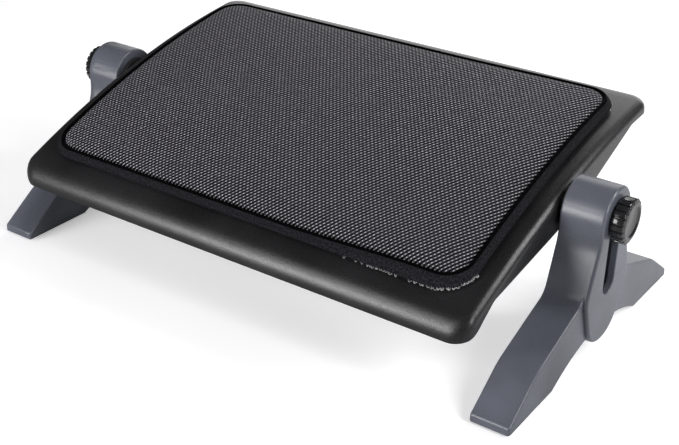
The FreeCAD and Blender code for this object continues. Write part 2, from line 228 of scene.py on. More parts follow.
def bump(tree, shader, height, distance):
    """Bump on a shader from a height socket."""
    made = node(tree, "ShaderNodeBump", Height=height, Distance=distance, Strength=1.0)
    feed(tree, shader.inputs["Normal"], made.outputs["Normal"])


def object_place(tree):
    """Place on the object, in metres."""
    return node(tree, "ShaderNodeTexCoord").outputs["Object"]


def shade(tint, factor):
    """A colour made lighter or darker."""
    return tuple(part * factor for part in tint)


def moulded_plastic(name, tint, roughness, grain, depth):
    """Plastic, rubber or plain cloth with a fine grain and faint unevenness."""
    material, tree, shader = new_material(name, tint, roughness)
    place = object_place(tree)
    fine = noise(tree, place, grain, 3.0, 0.6)
    broad = noise(tree, place, 14.0)
    lighter = tuple(part * 1.35 + 0.004 for part in tint)
    tone = mix_colours(tree, ramp(tree, broad, 0.0, 1.0, 0.35, 0.65), shade(tint, 0.78), lighter)
    speck = mix_colours(tree, ramp(tree, fine, 0.0, 0.5, 0.45, 0.75), tone, lighter)
    feed(tree, shader.inputs["Base Color"], speck)
    matt = ramp(tree, fine, roughness - 0.06, roughness + 0.09, 0.3, 0.7)
    feed(tree, shader.inputs["Roughness"], matt)
    bump(tree, shader, fine, depth)
    return material


def turned_metal(name, tint, roughness, rings_per_metre):
    """Turned metal with fine rings along X."""
    material, tree, shader = new_material(name, tint, roughness, metal=1.0)
    place = object_place(tree)
    rings = node(tree, "ShaderNodeTexWave", bands_direction="X", Vector=place,
                 Scale=rings_per_metre, Distortion=0.0)
    wear = noise(tree, place, 300.0, 3.0)
    worn = ramp(tree, wear, roughness - 0.08, roughness + 0.14, 0.3, 0.7)
    feed(tree, shader.inputs["Roughness"], worn)
    bump(tree, shader, rings.outputs["Fac"], 0.0004)
    return material


def map_axes(tree):
    """The piece's own cloth map, and its two coordinates in metres."""
    flat = node(tree, "ShaderNodeUVMap", uv_map="cloth_map").outputs["UV"]
    split = node(tree, "ShaderNodeSeparateXYZ", Vector=flat)
    return flat, split.outputs["X"], split.outputs["Y"]


def cosine(tree, phase):
    """Cosine of a phase."""
    return math_node(tree, "COSINE", phase)


def scaled(tree, value, factor):
    """A value times a factor."""
    return math_node(tree, "MULTIPLY", value, factor)


def total(tree, first, *others):
    """Sum of several values."""
    for other in others:
        first = math_node(tree, "ADD", first, other)
    return first


def air_mesh_material(tint):
    """Spacer mesh: slanting long holes in staggered rows between raised yarn, with painted shade in the
    holes and painted highlights on the yarn's ridges.
    """
    material, tree, shader = new_material("air_mesh", tint, 0.55, shine=0.25)
    flat, across, along = map_axes(tree)
    pitch_across = 0.00370
    pitch_along = 0.00535
    across_phase = scaled(tree, across, 2 * math.pi / pitch_across)
    along_phase = scaled(tree, along, 2 * math.pi / pitch_along)
    rows = cosine(tree, math_node(tree, "SUBTRACT", along_phase, across_phase))
    counter_rows = cosine(tree, total(tree, along_phase, across_phase))
    bars = cosine(tree, scaled(tree, along_phase, 2.0))
    columns = cosine(tree, scaled(tree, across_phase, 2.0))
    weave = total(tree, rows, scaled(tree, counter_rows, 0.25), scaled(tree, bars, 0.42),
                  scaled(tree, columns, 0.34))
    fibres = noise(tree, flat, 1500.0)
    ragged = total(tree, weave, ramp(tree, fibres, -0.2, 0.2, 0.3, 0.7))
    yarn = ramp(tree, ragged, 1.0, 0.0, -0.50, -0.05)
    # painted highlight: this mask lightens the yarn's ridges to the lit colour, 6.5 to 11 times the yarn
    # tint; the same mask also raises the bump
    ridge_highlight = ramp(tree, ragged, 1.0, 0.0, -1.25, -0.75)
    uneven = ramp(tree, noise(tree, flat, 420.0, 1.0), 0.0, 1.0, 0.35, 0.65)
    lit = mix_colours(tree, uneven, shade(tint, 6.5), shade(tint, 11.0))
    # painted shade: the holes' near black stands in for the shade inside them; the hole pattern itself
    # is the mesh's own
    hole_shade = (0.001, 0.001, 0.001)
    cloth = mix_colours(tree, yarn, hole_shade, mix_colours(tree, ridge_highlight, tint, lit))
    feed(tree, shader.inputs["Base Color"], cloth)
    feed(tree, shader.inputs["Roughness"], ramp(tree, yarn, 1.0, 0.5))
    bump(tree, shader, total(tree, yarn, scaled(tree, ridge_highlight, 0.4)), 0.0005)
    return material


def knit_material(name, tint, pitch, shine):
    """Fine fuzzy knitted cloth on the piece's own map."""
    material, tree, shader = new_material(name, tint, 0.8, shine=shine)
    flat, across, along = map_axes(tree)
    course_pitch = pitch * 0.7
    wales = cosine(tree, scaled(tree, across, 2 * math.pi / pitch))
    courses = cosine(tree, scaled(tree, along, 2 * math.pi / course_pitch))
    knit = math_node(tree, "MULTIPLY", wales, courses)
    fuzz = noise(tree, flat, 700.0, 3.0)
    height = total(tree, scaled(tree, knit, 0.25), fuzz)
    contrast = ramp(tree, height, 0.0, 1.0, 0.40, 0.68)
    tone = mix_colours(tree, contrast, shade(tint, 0.15), shade(tint, 5.0))
    feed(tree, shader.inputs["Base Color"], tone)
    bump(tree, shader, height, 0.0010)
    return material


def thread_material(tint):
    """Sewing thread with a twist."""
    material, tree, shader = new_material("overlock_thread", tint, 0.6)
    twist = node(tree, "ShaderNodeTexWave", bands_direction="DIAGONAL", Vector=object_place(tree),
                 Scale=700.0).outputs["Fac"]
    feed(tree, shader.inputs["Base Color"], mix_colours(tree, twist, shade(tint, 0.5), tint))
    bump(tree, shader, twist, 0.0002)
    return material


# Modelling helpers

def activate(piece):
    """Make one object the only selected one, and the active one."""
    bpy.ops.object.select_all(action="DESELECT")
    piece.select_set(True)
    bpy.context.view_layer.objects.active = piece


def object_mode():
    """Back to object mode."""
    bpy.ops.object.mode_set(mode="OBJECT")


def edit(piece):
    """Edit mode on a piece, with all of it selected."""
    activate(piece)
    bpy.ops.object.mode_set(mode="EDIT")
    bpy.ops.mesh.select_mode(type="VERT")
    bpy.ops.mesh.select_all(action="SELECT")


def edit_only(piece, kind, wanted):
    """Edit mode on a piece, with the edges or faces selected that a test wants."""
    edit(piece)
    bpy.ops.mesh.select_mode(type=kind)
    bpy.ops.mesh.select_all(action="DESELECT")
    work = bmesh.from_edit_mesh(piece.data)
    for item in (work.edges if kind == "EDGE" else work.faces):
        if wanted(item):
            item.select_set(True)
    bmesh.update_edit_mesh(piece.data)


def apply_modifier(piece, kind, **values):
    """Add a modifier, set it and apply it."""
    activate(piece)
    modifier = piece.modifiers.new(kind.lower(), kind)
    for name, value in values.items():
        setattr(modifier, name, value)
    bpy.ops.object.modifier_apply(modifier=modifier.name)


def subtract(piece, cutter):
    """Cut one solid out of another, and remove it."""
    apply_modifier(piece, "BOOLEAN", operation="DIFFERENCE", object=cutter, solver="EXACT")
    bpy.data.objects.remove(cutter)


def place_in_mesh(piece):
    """Put the object's place, turn and scale into its mesh."""
    bpy.context.view_layer.update()
    piece.data.transform(piece.matrix_world)
    piece.matrix_world = Matrix.Identity(4)


def hang(piece):
    """Tip a piece that was modelled level about the tilt axis, and lift it to its height."""
    lifted = Matrix.Translation((0, 0, AXIS_HEIGHT))
    piece.data.transform(lifted @ Matrix.Rotation(TILT_SHOWN, 4, "X"))
    piece.data.update()


def block(size, middle):
    """Box of a size at a place."""
    bpy.ops.object.select_all(action="DESELECT")
    bpy.ops.mesh.primitive_cube_add(size=1.0, location=middle, scale=size)
    box = bpy.context.object
    place_in_mesh(box)
    return box


def bevel_selected(radius, segments):
    """Round the edges that are selected in edit mode, and leave it."""
    bpy.ops.mesh.bevel(offset=radius, segments=segments, profile=0.5, affect="EDGES",
                       clamp_overlap=False, loop_slide=False)
    object_mode()


def round_corners(box, radius, segments):
    """Round the upright edges of a box."""
    def upright(edge):
        return abs(edge.verts[0].co.z - edge.verts[1].co.z) > MERGE

    edit_only(box, "EDGE", upright)
    bevel_selected(radius, segments)


def cut_across(piece, places):
    """Cut a piece across at several places along Y."""
    edit(piece)
    for y in places:
        bpy.ops.mesh.select_all(action="SELECT")
        bpy.ops.mesh.bisect(plane_co=(0, y, 0), plane_no=(0, 1, 0), threshold=0.0)
    object_mode()


def spaced(start, end, steps):
    """Values from a start to an end, evenly spaced."""
    return [start + (end - start) * step / steps for step in range(steps + 1)]


def close_and_turn_out(piece):
    """Merge doubles and turn every face outwards."""
    edit(piece)
    bpy.ops.mesh.remove_doubles(threshold=MERGE)
    bpy.ops.mesh.normals_make_consistent(inside=False)
    object_mode()


def smooth(piece, degrees):
    """Smooth shading that keeps edges sharper than an angle."""
    activate(piece)
    bpy.ops.object.shade_smooth_by_angle(angle=math.radians(degrees))


def linked(name, data):
    """New object in the scene."""
    made = bpy.data.objects.new(name, data)
    bpy.context.scene.collection.objects.link(made)
    return made


def object_from(work, name):
    """Object from a worked mesh, its faces turned outwards."""
    bmesh.ops.recalc_face_normals(work, faces=work.faces)
    mesh = bpy.data.meshes.new(name)
    work.to_mesh(mesh)
    work.free()
    return linked(name, mesh)


def finish_piece(piece, name, body, material, replaced=()):
    """Name a piece, give it its material and slot, and let it ride on its body."""
    piece.name = name
    piece.data.name = name
    piece.data.materials.clear()
    piece.data.materials.append(material)
    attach(piece, body)
    if replaced:
        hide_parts(*replaced)
    return piece


def join(pieces):
    """Join several objects into the first."""
    activate(pieces[0])
    for piece in pieces:
        piece.select_set(True)
    bpy.ops.object.join()
    return pieces[0]


def mirrored_copy(piece):
    """Copy of a piece on the other side of the middle plane, with its own mesh."""
    other = linked(piece.name, piece.data.copy())
    other.data.transform(Matrix.Scale(-1, 4, (1, 0, 0)))
    other.data.flip_normals()
    return other


def crown_height(y):
    """Height of the level deck over the tilt axis, at a distance behind it."""
    return DECK_RISE - CROWN_RADIUS + math.sqrt(CROWN_RADIUS**2 - y**2)


def rounded_points(corners, steps):
    """Points of an outline through corners of (y, z, radius), each with that round."""
    points = []
    for index, (y, z, radius) in enumerate(corners):
        here = Vector((y, z))
        if radius <= 0:
            points.append(here)
            continue
        before = (Vector(corners[index - 1][:2]) - here).normalized()
        after = (Vector(corners[(index + 1) % len(corners)][:2]) - here).normalized()
        half = before.angle(after) / 2
        reach = radius / math.tan(half)
        centre = here + (before + after).normalized() * (radius / math.sin(half))
        start = here + before * reach - centre
        end = here + after * reach - centre
        turn = start.angle_signed(end)
        for angle in spaced(0.0, -turn, steps):
            points.append(centre + Matrix.Rotation(angle, 2) @ start)
    return points


def arc_points(centre_y, centre_z, radius, start, end, steps):
    """Points along an arc, angles in degrees."""
    points = []
    for degrees in spaced(start, end, steps):
        angle = math.radians(degrees)
        points.append(Vector((centre_y + radius * math.cos(angle), centre_z + radius * math.sin(angle))))
    return points


def without_doubles(points):
    """Closed loop without points that fall on the one before."""
    apart = 1e-5
    kept = []
    for point in points:
        if not kept or (point - kept[-1]).length > apart:
            kept.append(point)
    if (kept[0] - kept[-1]).length <= apart:
        kept.pop()
    return kept


def plate(outline, start, end, edge_round, name):
    """Flat outline in the YZ plane pushed along X, with both rims rounded."""
    flat = bpy.data.curves.new(name, "CURVE")
    flat.dimensions = "2D"
    flat.fill_mode = "BOTH"
    flat.extrude = (end - start) / 2 - edge_round
    flat.bevel_depth = edge_round
    flat.bevel_resolution = 4
    flat.offset = -edge_round
    spline = flat.splines.new("POLY")
    spline.points.add(len(outline) - 1)
    for point, place in zip(spline.points, outline):
        point.co = (place.x, place.y, 0, 1)
    spline.use_cyclic_u = True
    activate(linked(name, flat))
    bpy.ops.object.convert(target="MESH")
    shape = bpy.context.view_layer.objects.active
    upright = Matrix(((0, 0, 1, (start + end) / 2), (1, 0, 0, 0), (0, 1, 0, 0), (0, 0, 0, 1)))
    shape.data.transform(upright)
    close_and_turn_out(shape)
    return shape


def stacked_loops(loops, name):
    """Closed solid through loops of as many points each, capped at both ends."""
    work = bmesh.new()
    rings = [[work.verts.new(point) for point in loop] for loop in loops]
    count = len(rings[0])
    for one, two in zip(rings, rings[1:]):
        for index in range(count):
            after = (index + 1) % count
            work.faces.new((one[index], one[after], two[after], two[index]))
    work.faces.new(rings[0])
    work.faces.new(rings[-1][::-1])
    return object_from(work, name)


# Stage

class FOOTREST_OT_stage(Operator):
    """Add the floor, the lights, the world and the camera"""

    bl_idname = "footrest.stage"
    bl_label = "Stage"

    def execute(self, context):
        make_floor()
        make_world()
        make_lights()
        make_camera()
        return {"FINISHED"}


def make_floor():
    """Pale floor; the camera sees it lifted to white, with the object's soft shadow left; reflections
    see its front part grey, as painted shade.
    """
    bpy.ops.object.select_all(action="DESELECT")
    bpy.ops.mesh.primitive_plane_add(size=8.0, location=(0, 0, -0.0005))
    floor = bpy.context.object
    floor.name = "floor"
    pale = (0.84, 0.84, 0.85)
    mirrored_grey = (0.25, 0.25, 0.25)
    lift = 0.39
    all_grey = -0.22
    all_pale = 0.05
    material, tree, shader = new_material("floor_white", pale, 0.6, shine=0.2)
    feed(tree, shader.inputs["Emission Color"], (1.0, 0.99, 1.0))
    path = node(tree, "ShaderNodeLightPath").outputs
    feed(tree, shader.inputs["Emission Strength"], ramp(tree, path["Is Camera Ray"], 0.0, lift))
    split = node(tree, "ShaderNodeSeparateXYZ", Vector=object_place(tree))
    # painted shade in reflections: glossy rays see the floor's front part grey, which darkens what the
    # tray's front roll reflects
    front = ramp(tree, split.outputs["Y"], 1.0, 0.0, all_grey, all_pale)
    mirrored = math_node(tree, "MULTIPLY", front, path["Is Glossy Ray"])
    feed(tree, shader.inputs["Base Color"], mix_colours(tree, mirrored, pale, mirrored_grey))
    floor.data.materials.append(material)


def make_world():
    """World: white to the camera, a dark studio to reflections, soft light to the rest."""
    world = bpy.data.worlds.new("studio")
    bpy.context.scene.world = world
    world.use_nodes = True
    tree = world.node_tree
    background = tree.nodes["Background"]
    feed(tree, background.inputs["Color"], (1, 1, 1))
    path = node(tree, "ShaderNodeLightPath").outputs
    soft = 0.21
    dark = 0.05
    unseen = ramp(tree, path["Is Glossy Ray"], soft, dark)
    seen = math_node(tree, "MAXIMUM", path["Is Camera Ray"], unseen)
    feed(tree, background.inputs["Strength"], seen)


def softbox(name, azimuth, elevation, distance, width, height, radiance):
    """Rectangular light aimed at the footrest; azimuth runs from the front to the right."""
    away = direction(math.radians(azimuth), math.radians(elevation))
    lamp = bpy.data.lights.new(name, "AREA")
    lamp.shape = "RECTANGLE"
    lamp.size = width
    lamp.size_y = height
    lamp.energy = radiance * math.pi * width * height
    holder = linked(name, lamp)
    aim = Vector((0, 0, 0.1))
    holder.location = aim + away * distance
    holder.rotation_euler = away.to_track_quat("Z", "Y").to_euler()
    holder.visible_camera = False


def direction(azimuth, elevation):
    """Way out from the middle; azimuth runs from the front to the right."""
    level = math.cos(elevation)
    return Vector((math.sin(azimuth) * level, -math.cos(azimuth) * level, math.sin(elevation)))


def make_lights():
    """Softboxes front left and right, a strip for the rims, and a pale backdrop."""
    softbox("front_low_box", -22, 7, distance=1.6, width=0.95, height=0.5, radiance=13.6)
    softbox("front_high_box", -21, 28, distance=1.6, width=0.66, height=0.4, radiance=6.0)
    softbox("right_strip", 74, 26, distance=1.5, width=0.24, height=0.7, radiance=18.0)
    softbox("right_box", 116, 34, distance=1.6, width=0.28, height=0.9, radiance=16.0)
    softbox("backdrop", -165, 22, distance=1.9, width=2.2, height=1.5, radiance=1.8)


def make_camera():
    """Camera at the photograph's viewing angle."""
    azimuth = math.radians(34.4)
    elevation = math.radians(27.4)
    roll = math.radians(1.3)
    focal_pixels = 1222.9
    image_width = 679
    back = direction(azimuth, elevation)
    right = Vector((math.cos(azimuth), math.sin(azimuth), 0.0))
    up = back.cross(right)
    turned_right = right * math.cos(roll) + up * math.sin(roll)
    turned_up = up * math.cos(roll) - right * math.sin(roll)
    lens = bpy.data.cameras.new("camera")
    lens.sensor_fit = "HORIZONTAL"
    lens.sensor_width = 36.0
    lens.lens = focal_pixels / image_width * lens.sensor_width
    camera = linked("camera", lens)
    stand = Matrix((turned_right, turned_up, back)).transposed().to_4x4()
    stand.translation = Vector((0.55484, -0.79327, 0.53310))
    camera.matrix_world = stand
    bpy.context.scene.camera = camera


# Tray

class FOOTREST_OT_tray(Operator):
    """Model the moulded tray with its rolled rim, skirt, ribs and pivot bosses"""

    bl_idname = "footrest.tray"
    bl_label = "Tray"

    def execute(self, context):
        plastic = moulded_plastic("tray_plastic", tuple(settings().tray.colour), roughness=0.30,
                                  grain=1200.0, depth=0.00014)
        tray = join([tray_skin()] + tray_ribs() + tray_bosses())
        hang(tray)
        finish_piece(tray, "tray_moulding", "tray", plastic, ("tray_shell",))
        return {"FINISHED"}


def tray_form():
    """Tray's outer form as a closed block with an arched top and a rolled rim."""
    s = settings().tray
    floor_z = -0.040
    clear = 0.004
    form = block((s.width, s.front + s.back, DECK_RISE - floor_z),
                 (0, (s.back - s.front) / 2, (DECK_RISE + floor_z) / 2))
    round_corners(form, s.corner, 14)
    cut_across(form, spaced(-s.front + s.front_roll + clear, s.back - s.back_roll - clear, 26))
    for vertex in form.data.vertices:
        if vertex.co.z > DECK_RISE - MERGE:
            vertex.co.z = crown_height(vertex.co.y)
    weigh_rim(form, above=floor_z / 2)
    apply_modifier(form, "BEVEL", width=s.front_roll, segments=10, limit_method="WEIGHT",
                   use_clamp_overlap=False, profile=0.5)
    close_and_turn_out(form)
    return form


def weigh_rim(form, above):
    """Bevel weights for the edges between the top and the sides, by the roll each takes."""
    s = settings().tray
    work = bmesh.new()
    work.from_mesh(form.data)
    weights = work.edges.layers.float.new("bevel_weight_edge")
    for edge in work.edges:
        one, two = edge.verts
        slopes = [abs(face.normal.z) for face in edge.link_faces]
        if min(one.co.z, two.co.z) > above and min(slopes) < 0.3 and max(slopes) > 0.7:
            edge[weights] = rim_roll((one.co + two.co) / 2) / s.front_roll
    work.to_mesh(form.data)
    work.free()


def share_into(value, start, end):
    """How far a value has come from a start to an end, between 0 and 1."""
    return min(max((value - start) / (end - start), 0.0), 1.0)


def rim_roll(place):
    """Radius of the rolled rim at a place: wide at the front, less at the back and sides."""
    s = settings().tray
    half = s.width / 2
    into_side = share_into(abs(place.x), half - s.corner, half)
    if place.y < 0:
        ahead = share_into(-place.y, s.front - s.corner, s.front)
        main = s.front_roll
    else:
        ahead = share_into(place.y, s.back - s.corner, s.back)
        main = s.back_roll
    turn = math.atan2(into_side, max(ahead, MERGE))
    share = eased(turn, math.pi / 2, 0.0)
    return s.side_roll + (main - s.side_roll) * share


def eased(value, start, end):
    """Smooth step from 0 at the start to 1 at the end."""
    share = share_into(value, start, end)
    return share * share * (3 - 2 * share)


def skirt_trimmer():
    """Block that holds everything under the skirt's lower edge."""
    s = settings().tray
    past = 0.25
    deep = -0.09
    front_edge = -0.0126
    back_edge = -0.0069
    kink = -0.0010
    belly = (-0.0025, -0.0142, 0.26)
    corners = [
        (-past, front_edge, 0.0), (-s.front + 0.0087, front_edge, 0.012), (-0.119, kink, 0.016),
        belly, (0.114, kink, 0.016), (s.back - 0.0087, back_edge, 0.010),
        (past, back_edge, 0.0), (past, deep, 0.0), (-past, deep, 0.0),
    ]
    reach = s.width
    return plate(rounded_points(corners, 14), -reach, reach, 0.0, "trimmer")


def tray_skin():
    """Outer skin of the tray: trimmed form, opened underneath and given its wall."""
    skin = tray_form()
    subtract(skin, skirt_trimmer())
    edit_only(skin, "FACE", lambda face: face.normal.z < -0.5)
    bpy.ops.mesh.delete(type="FACE")
    bpy.ops.mesh.select_all(action="SELECT")
    bpy.ops.mesh.remove_doubles(threshold=MERGE)
    object_mode()
    apply_modifier(skin, "SOLIDIFY", thickness=settings().tray.wall, offset=-1.0,
                   use_even_offset=True, use_quality_normals=True)
    smooth(skin, 40)
    return skin


def tray_ribs():
    """Grid of thin ribs under the deck."""
    s = settings().tray
    half = s.width / 2
    along = spaced(-half, half, 8)[1:-1]
    across = spaced(-s.front, s.back, 5)[1:-1]
    front = -s.front + 0.012
    back = s.back - 0.008
    side_clear = 0.0035
    ribs = [arched_rib(x, s.rib_thickness, front, back, 24) for x in along]
    for y in across:
        edge = s.rib_thickness / 2
        ribs.append(arched_rib(0.0, s.width - 2 * side_clear, y - edge, y + edge, 1))
    return ribs


def arched_rib(x, width, front, back, steps):
    """Rib that follows the underside of the deck in steps from front to back."""
    s = settings().tray
    into_deck = 0.0004
    rib = block((width, back - front, s.rib_depth), (x, (front + back) / 2, 0))
    cut_across(rib, spaced(front, back, steps)[1:-1])
    for vertex in rib.data.vertices:
        high = crown_height(vertex.co.y) - s.wall + into_deck
        vertex.co.z = high if vertex.co.z > 0 else high - s.rib_depth
    return rib


def bar(radius, start, end, edge_round):
    """Round bar on the tilt axis between two places along X, its ends rounded."""
    bpy.ops.object.select_all(action="DESELECT")
    bpy.ops.mesh.primitive_cylinder_add(
        vertices=64, radius=radius, depth=end - start, location=((start + end) / 2, 0, 0),
        rotation=(0, math.pi / 2, 0))
    made = bpy.context.object
    place_in_mesh(made)
    apply_modifier(made, "BEVEL", width=edge_round, segments=3, limit_method="ANGLE",
                   angle_limit=math.radians(50))
    smooth(made, 35)
    return made


def tray_bosses():
    """Hub, journal and web of the right side, and their copies on the left."""
    half = settings().tray.width / 2
    hub_radius = 0.012
    hub_length = 0.026
    journal_radius = 0.0097
    journal_end = 0.2625
    web = Vector((0.024, 0.008, DECK_RISE - 0.002))
    hub = bar(hub_radius, half - hub_length, half - 0.001, edge_round=0.0008)
    journal = bar(journal_radius, half - 0.002, journal_end, edge_round=0.0006)
    right = join([hub, journal, block(web, (half - 0.0135, 0, web.z / 2))])
    return [right, mirrored_copy(right)]


# Legs

class FOOTREST_OT_legs(Operator):
    """Model both legs: the body with its feet and the raised face with its slot"""

    bl_idname = "footrest.legs"
    bl_label = "Legs"

    def execute(self, context):
        plastic = moulded_plastic("leg_plastic", tuple(settings().legs.colour), roughness=0.31,
                                  grain=1100.0, depth=0.00003)
        right = leg_shape()
        left = mirrored_copy(right)
        finish_piece(right, "leg_moulding_right", "stand", plastic, ("right_leg",))
        finish_piece(left, "leg_moulding_left", "stand", plastic, ("left_leg",))
        return {"FINISHED"}


def slot_loop(x, radius):
    """Upright slot with round ends, as a loop in one plane."""
    low = AXIS_HEIGHT - settings().legs.slot_travel
    flat = arc_points(0, AXIS_HEIGHT, radius, 0, 180, 24) + arc_points(0, low, radius, 180, 360, 24)
    return [Vector((x, place.x, place.y)) for place in flat]


def slot_cutter():
    """Slot with a rounded mouth, and the hollow behind the moulding's walls."""
    s = settings().legs
    past = 0.002
    radius = s.slot_width / 2
    hollow = radius + 0.0055
    lip = FACE_OUTER - s.slot_wall
    skin = LEG_INNER + 0.003
    mouth = s.mouth_round
    loops = [
        slot_loop(LEG_INNER - past, radius), slot_loop(skin, radius), slot_loop(skin, hollow),
        slot_loop(lip, hollow), slot_loop(lip, radius),
    ]
    for turn in spaced(0.0, math.pi / 2, 5):
        loops.append(slot_loop(FACE_OUTER - mouth + mouth * math.sin(turn),
                               radius + mouth * (1 - math.cos(turn))))
    loops.append(slot_loop(FACE_OUTER + past, radius + mouth))
    return stacked_loops(loops, "slot_cutter")


def post_outline(head, corners, arch=()):
    """Closed outline: round head, the corners of one side, an arch, and the other side."""
    side = [(head, AXIS_HEIGHT, 0.0)] + corners
    other = [(-y, z, radius) for y, z, radius in reversed(side)]
    outline = arc_points(0, AXIS_HEIGHT, head, 180, 0, 60)
    outline += rounded_points(side, 20)
    outline += arch
    outline += rounded_points(other, 20)
    return without_doubles(outline)


def arch_between(half, z, rise):
    """Arch between the feet, from the right heel to the left one."""
    radius = (half**2 + rise**2) / (2 * rise)
    reach = math.degrees(math.asin(half / radius))
    return arc_points(0, z + rise - radius, radius, 90 - reach, 90 + reach, 24)[1:-1]


def leg_shape():
    """Right leg: the body and the raised face, both with the slot through them."""
    s = settings().legs
    shoulder_z = AXIS_HEIGHT - 0.0170
    shoulder_round = 0.040
    knee_spread = 0.0137
    knee_z = 0.0590
    heel = 0.077
    sole = 0.0012
    body = post_outline(s.head, [
        (s.head, shoulder_z, shoulder_round), (s.head + knee_spread, knee_z, 0.014),
        (0.1074, 0.0342, 0.060), (s.toe, 0.0076, 0.003), (s.toe, sole, 0.0008), (heel, sole, 0.0),
    ], arch_between(heel, sole, 0.019))
    leg = plate(body, LEG_INNER, FOOT_OUTER, s.edge_round, "leg_body")
    rim = s.head + 0.00002
    tongue_z = 0.0106
    face = post_outline(rim, [
        (rim, shoulder_z, shoulder_round), (rim + knee_spread, knee_z, 0.020),
        (0.0202, tongue_z, 0.0280), (0.0, tongue_z, 0.0),
    ])
    raised = plate(face, FACE_OUTER - 0.009, FACE_OUTER, s.face_round, "leg_face")
    apply_modifier(leg, "BOOLEAN", operation="UNION", object=raised, solver="EXACT")
    bpy.data.objects.remove(raised)
    subtract(leg, slot_cutter())
    smooth(leg, 30)
    apply_modifier(leg, "WEIGHTED_NORMAL", keep_sharp=True)
    return leg


# Knobs

class FOOTREST_OT_knobs(Operator):
    """Model the fluted clamp knobs"""

    bl_idname = "footrest.knobs"
    bl_label = "Knobs"

    def execute(self, context):
        plastic = moulded_plastic("knob_plastic", tuple(settings().knobs.colour), roughness=0.17,
                                  grain=900.0, depth=0.00001)
        right = knob_shape()
        left = mirrored_copy(right)
        finish_piece(right, "knob_grip_right", "right_knob", plastic, ("right_knob",))
        finish_piece(left, "knob_grip_left", "left_knob", plastic, ("left_knob",))
        return {"FINISHED"}


def knob_shape():
    """Right knob: a spun profile with rounded edges and a dish, and grooves cut in its rim."""
    s = settings().knobs
    floor_x = KNOB_OUT - s.dish_depth
    profile = [
        (KNOB_IN, 0.0), (KNOB_IN, s.radius - 0.0010), (KNOB_IN + 0.0003, s.radius - 0.0003),
        (KNOB_IN + 0.0010, s.radius), (KNOB_OUT - 0.0017, s.radius),
        (KNOB_OUT - 0.0012, s.radius - 0.0004), (KNOB_OUT - 0.0008, s.radius - 0.0012),
        (KNOB_OUT - 0.0001, s.radius - 0.0034), (KNOB_OUT, s.radius - 0.0038),
        (KNOB_OUT, s.dish + 0.0008), (KNOB_OUT - 0.0004, s.dish + 0.0002),
        (floor_x + 0.0004, s.dish - 0.0008), (floor_x, s.dish - 0.0018), (floor_x + 0.0003, 0.0),
    ]
    mesh = bpy.data.meshes.new("knob")
    chain = [(index, index + 1) for index in range(len(profile) - 1)]
    mesh.from_pydata([(x, radius, 0.0) for x, radius in profile], chain, [])
    knob = linked("knob", mesh)
    edit(knob)
    bpy.ops.mesh.spin(steps=s.ribs * 16, angle=2 * math.pi, center=(0, 0, 0), axis=(1, 0, 0))
    object_mode()
    close_and_turn_out(knob)
    for vertex in knob.data.vertices:
        cut_groove(vertex)
    knob.data.transform(Matrix.Translation((0, 0, AXIS_HEIGHT)))
    smooth(knob, 40)
    return knob


def cut_groove(vertex):
    """Draw a point of the knob in where it lies in a groove between two ribs."""
    s = settings().knobs
    rim = 0.0024
    across = Vector((vertex.co.y, vertex.co.z))
    depth = s.groove * share_into(across.length, s.radius - rim, s.radius)
    if depth > 0:
        angle = math.atan2(across.y, across.x)
        wave = abs(math.cos(s.ribs * angle / 2))
        drawn = across.normalized() * depth * share_into(wave, 0.46, 0.30)
        vertex.co.y -= drawn.x
        vertex.co.z -= drawn.y


# Pad

class FOOTREST_OT_cushion(Operator):
    """Model the foam core under its air mesh cover"""

    bl_idname = "footrest.cushion"
    bl_label = "Cushion"

    def execute(self, context):
        cloth = air_mesh_material(tuple(settings().pad.mesh_colour))
        cushion = finish_piece(pad_cushion(), "pad_cushion", "tray", cloth,
                               ("pad_foam", "pad_mesh_cover"))
        return {"FINISHED"}


class FOOTREST_OT_edging(Operator):
    """Model the edge band and the piping that are sewn round the pad"""

    bl_idname = "footrest.edging"
    bl_label = "Edging"

    def execute(self, context):
        tint = settings().pad.band_colour
        band_cloth = knit_material("edge_band_knit", tuple(tint), pitch=0.0011, shine=0.1)
        piping_cloth = knit_material("piping_knit", shade(tint, 0.1), pitch=0.0007, shine=0.03)
        finish_piece(pad_band(), "pad_band", "tray", band_cloth, ("pad_edge_band",))
        finish_piece(pad_piping(), "pad_piping", "tray", piping_cloth)
        return {"FINISHED"}


class FOOTREST_OT_base(Operator):
    """Model the thin cloth under the pad"""

    bl_idname = "footrest.base"
    bl_label = "Base cloth"

    def execute(self, context):
        cloth = moulded_plastic("base_cloth", (0.007, 0.007, 0.008), roughness=0.85, grain=1600.0,
                                depth=0.0006)
        finish_piece(pad_base(), "pad_base", "tray", cloth, ("pad_base_sheet",))
        return {"FINISHED"}


class FOOTREST_OT_stitches(Operator):
    """Model the loose overlock stitches at the pad's hem"""

    bl_idname = "footrest.stitches"
    bl_label = "Stitches"

    def execute(self, context):
        thread = thread_material(tuple(settings().pad.thread_colour))
        finish_piece(hem_stitches(), "pad_stitches", "tray", thread)
        return {"FINISHED"}


def pad_path(step):
    """Points along the pad's outline: place, outward way, distance run."""
    s = settings().pad
    corner = s.corner
    steps = 12
    points = []
    for quarter in range(4):
        start = math.pi / 2 * quarter
        middle_x = (s.width / 2 - corner) * (1 if quarter in (0, 3) else -1)
        middle_y = (s.depth / 2 - corner) * (1 if quarter in (0, 1) else -1)
        for angle in spaced(start, start + math.pi / 2, steps):
            out = Vector((math.cos(angle), math.sin(angle)))
            points.append((Vector((middle_x, middle_y)) + out * corner, out))
    path = []
    run = 0.0
    for index, (place, out) in enumerate(points):
        following, next_out = points[(index + 1) % len(points)]
        apart = (following - place).length
        straight = (index + 1) % (steps + 1) == 0
        pieces = max(1, int(apart / step)) if straight else 1
        for part in range(pieces):
            share = part / pieces
            spot = place.lerp(following, share)
            path.append((spot, out.lerp(next_out, share).normalized(), run + apart * share))
        run += apart
    return path


